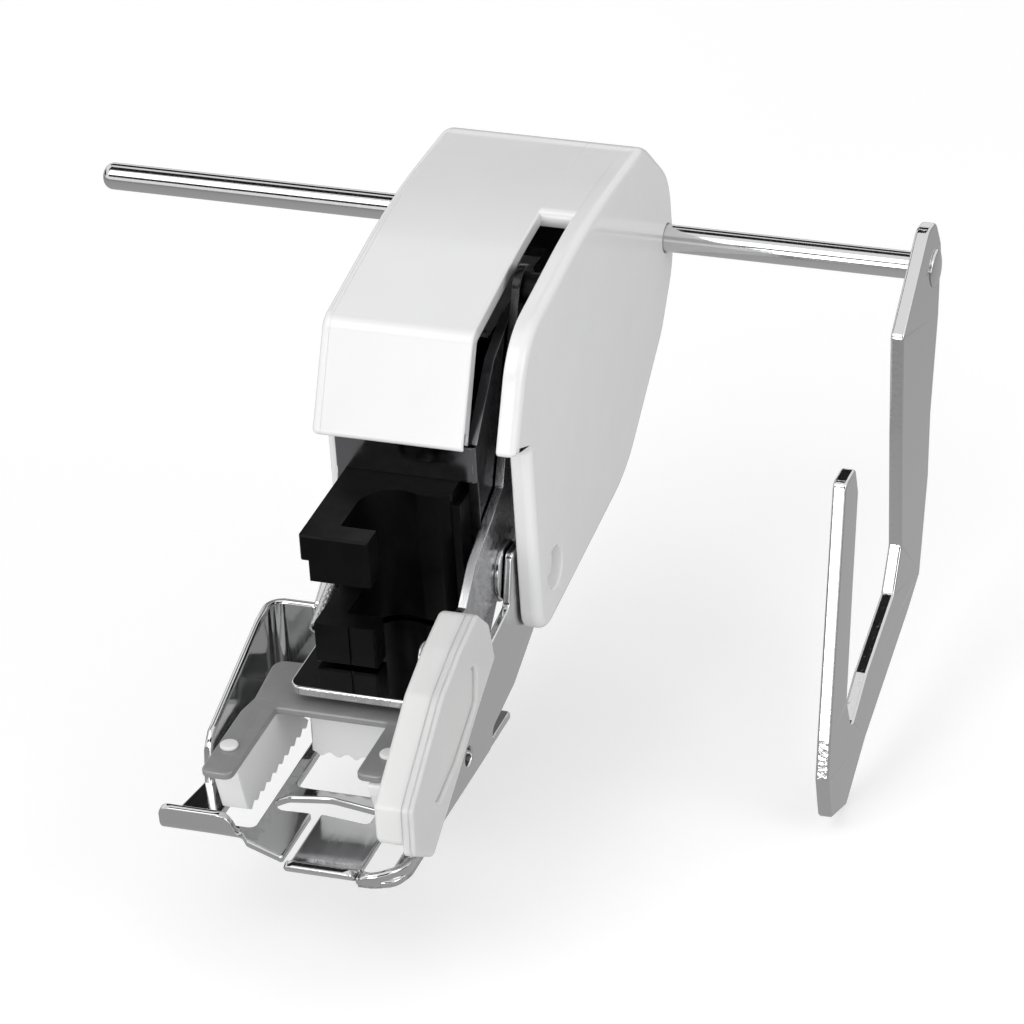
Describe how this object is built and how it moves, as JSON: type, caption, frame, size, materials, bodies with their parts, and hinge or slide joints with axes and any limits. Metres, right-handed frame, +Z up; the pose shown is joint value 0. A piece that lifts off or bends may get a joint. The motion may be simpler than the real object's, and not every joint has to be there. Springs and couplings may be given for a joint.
{
  "type": "walking presser foot",
  "caption": "Sewing machine walking foot with forked lever, white cover, toothed feed dogs, slotted sole and a sliding guide rod with a flat guide blade.",
  "frame": {"origin": "on the axis of the presser bar, level with the middle of the clamp screw slot", "axes": "+Z up along the presser bar, +X to the operator's right along the guide rod, +Y to the back of the machine"},
  "size_m": [0.0956, 0.0866, 0.0585],
  "materials": {
    "black_block": "black moulding with a slight sheen",
    "dark_plating": "dark plated folded sheet",
    "bright_plating": "bright plated sheet and wire",
    "white_moulding": "glossy white moulding",
    "steel": "plain turned steel",
    "lever_steel": "plated steel sheet",
    "grey_sheet": "matt grey plated sheet",
    "nylon": "milky translucent nylon",
    "white_dogs": "milky white plastic",
    "spring_wire": "bright spring steel"
  },
  "bodies": {
    "frame": {"shank_block": "black_block", "frame_bracket": "dark_plating", "base_plate": "bright_plating", "cover": "white_moulding", "sole_pins": "steel", "fork_pivot_pin": "steel", "cross_shafts": "steel", "feed_spring": "spring_wire", "hook_spring": "spring_wire", "rod_spring": "spring_wire", "rod_spring_screw": "steel"},
    "lever": {"fork_lever": "lever_steel", "pivot_bush": "bright_plating", "lever_roller": "steel", "nylon_fork": "nylon"},
    "yoke": {"feed_yoke": "lever_steel", "carriage_pin_shaft": "steel"},
    "carriage": {"feed_carrier": "grey_sheet", "feed_dog_left": "white_dogs", "feed_dog_centre": "white_dogs", "feed_dog_right": "white_dogs"},
    "sole": {"sole_bracket": "bright_plating"},
    "rod": {"guide_rod": "bright_plating"},
    "blade": {"guide_blade": "bright_plating"}
  },
  "joints": [
    {"name": "fork_swing", "type": "hinge", "parent": "frame", "child": "lever", "pos_m": [0.008, 0.0099, -0.00415], "axis": [-1, 0, 0], "range_deg": [0, 35]},
    {"name": "feed_slide", "type": "slide", "parent": "frame", "child": "yoke", "axis": [0, 1, 0], "range_m": [0, 0.0015], "stiffness_N_per_m": 300, "springref_m": -0.002, "deforming": ["feed_spring"]},
    {"name": "carriage_tilt", "type": "hinge", "parent": "yoke", "child": "carriage", "pos_m": [-0.00065, 0.017, -0.005], "axis": [1, 0, 0], "range_deg": [0, 3], "deforming": ["hook_spring"]},
    {"name": "sole_lift", "type": "hinge", "parent": "frame", "child": "sole", "pos_m": [0, 0.0147, -0.00615], "axis": [-1, 0, 0], "range_deg": [0, 2.5]},
    {"name": "rod_slide", "type": "slide", "parent": "frame", "child": "rod", "axis": [1, 0, 0], "range_m": [-0.025, 0.035]},
    {"name": "guide_turn", "type": "hinge", "parent": "rod", "child": "blade", "pos_m": [0.04115, 0.0552, 0.0114], "axis": [1, 0, 0], "continuous": true}
  ],
  "couplings": [
    {"joint": "carriage_tilt", "follows": "fork_swing", "ratio": 0.0857},
    {"joint": "sole_lift", "follows": "fork_swing", "ratio": 0.0714}
  ]
}
